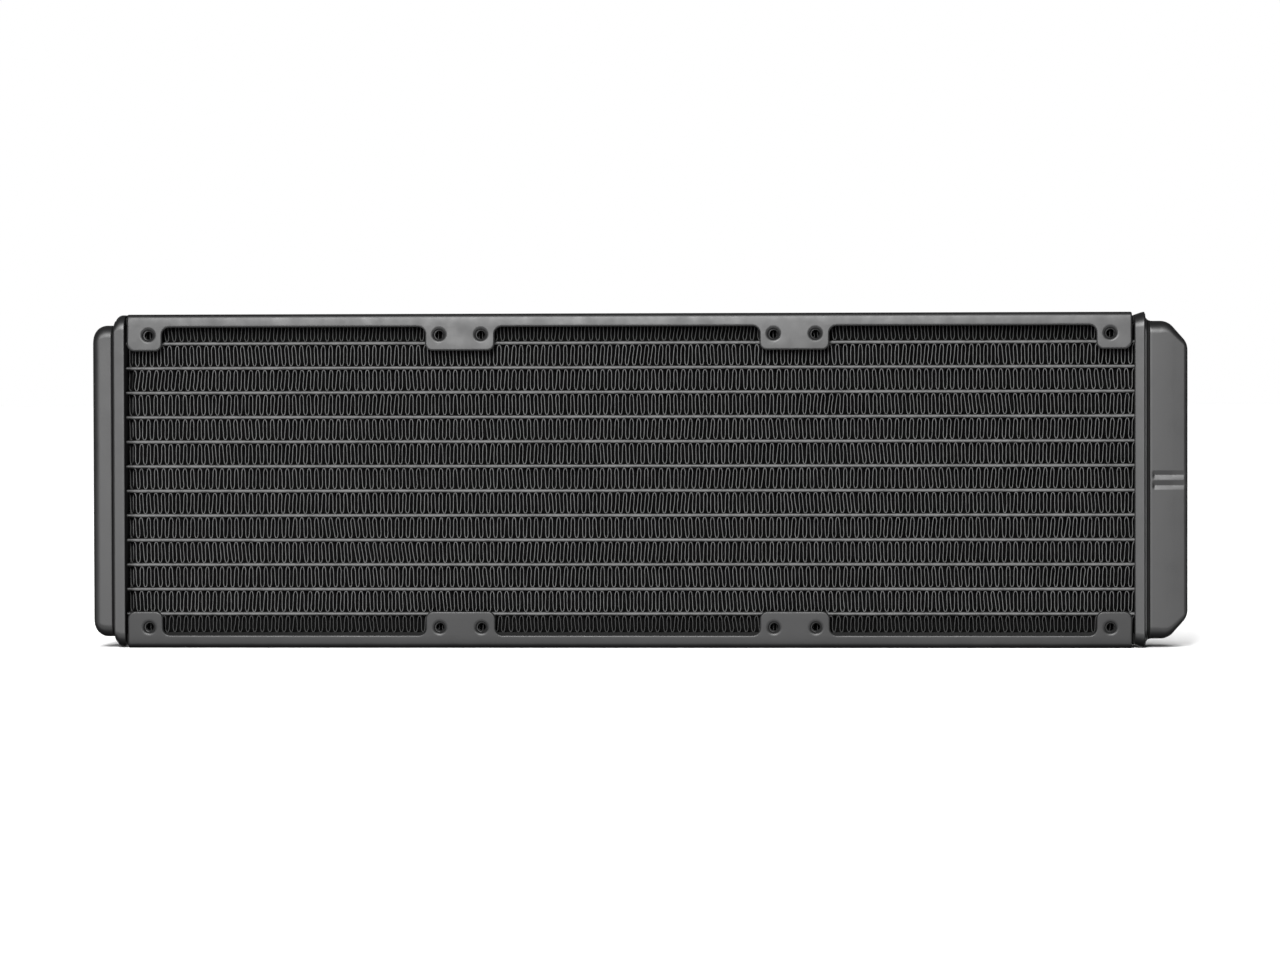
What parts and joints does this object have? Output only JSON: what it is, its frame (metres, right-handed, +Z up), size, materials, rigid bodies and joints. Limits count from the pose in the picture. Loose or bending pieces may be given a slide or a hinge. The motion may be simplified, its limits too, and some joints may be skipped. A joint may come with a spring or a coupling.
{
  "type": "liquid cooling radiator",
  "caption": "Slim liquid cooling radiator: flat tubes and folded fins between a return tank and a port tank, framed by side plates with fan screw tabs.",
  "frame": {"origin": "under the middle of the whole part, on the surface that its long edge stands on", "axes": "+X along the length, towards the port tank; -Y out of the fan side; +Z up, across the tubes"},
  "size_m": [0.393, 0.027, 0.12],
  "materials": {
    "frame_paint": "satin",
    "tank_paint": "satin",
    "core_paint": "satin",
    "fin_paint": "satin",
    "port_brass": "satin"
  },
  "bodies": {
    "root": {"side_plate_bottom": "frame_paint", "side_plate_top": "frame_paint", "header_plate_return": "tank_paint", "header_plate_port": "tank_paint", "return_tank": "tank_paint", "port_tank": "tank_paint", "port_tank_divider": "tank_paint", "core_bar_bottom": "core_paint", "core_bar_top": "core_paint", "flat_tube_01": "core_paint", "flat_tube_02": "core_paint", "flat_tube_03": "core_paint", "flat_tube_04": "core_paint", "flat_tube_05": "core_paint", "flat_tube_06": "core_paint", "flat_tube_07": "core_paint", "flat_tube_08": "core_paint", "flat_tube_09": "core_paint", "flat_tube_10": "core_paint", "flat_tube_11": "core_paint", "flat_tube_12": "core_paint", "fin_strip_01": "fin_paint", "fin_strip_02": "fin_paint", "fin_strip_03": "fin_paint", "fin_strip_04": "fin_paint", "fin_strip_05": "fin_paint", "fin_strip_06": "fin_paint", "fin_strip_07": "fin_paint", "fin_strip_08": "fin_paint", "fin_strip_09": "fin_paint", "fin_strip_10": "fin_paint", "fin_strip_11": "fin_paint", "fin_strip_12": "fin_paint", "fin_strip_13": "fin_paint", "port_bush_lower": "port_brass", "port_bush_upper": "port_brass"}
  },
  "joints": []
}
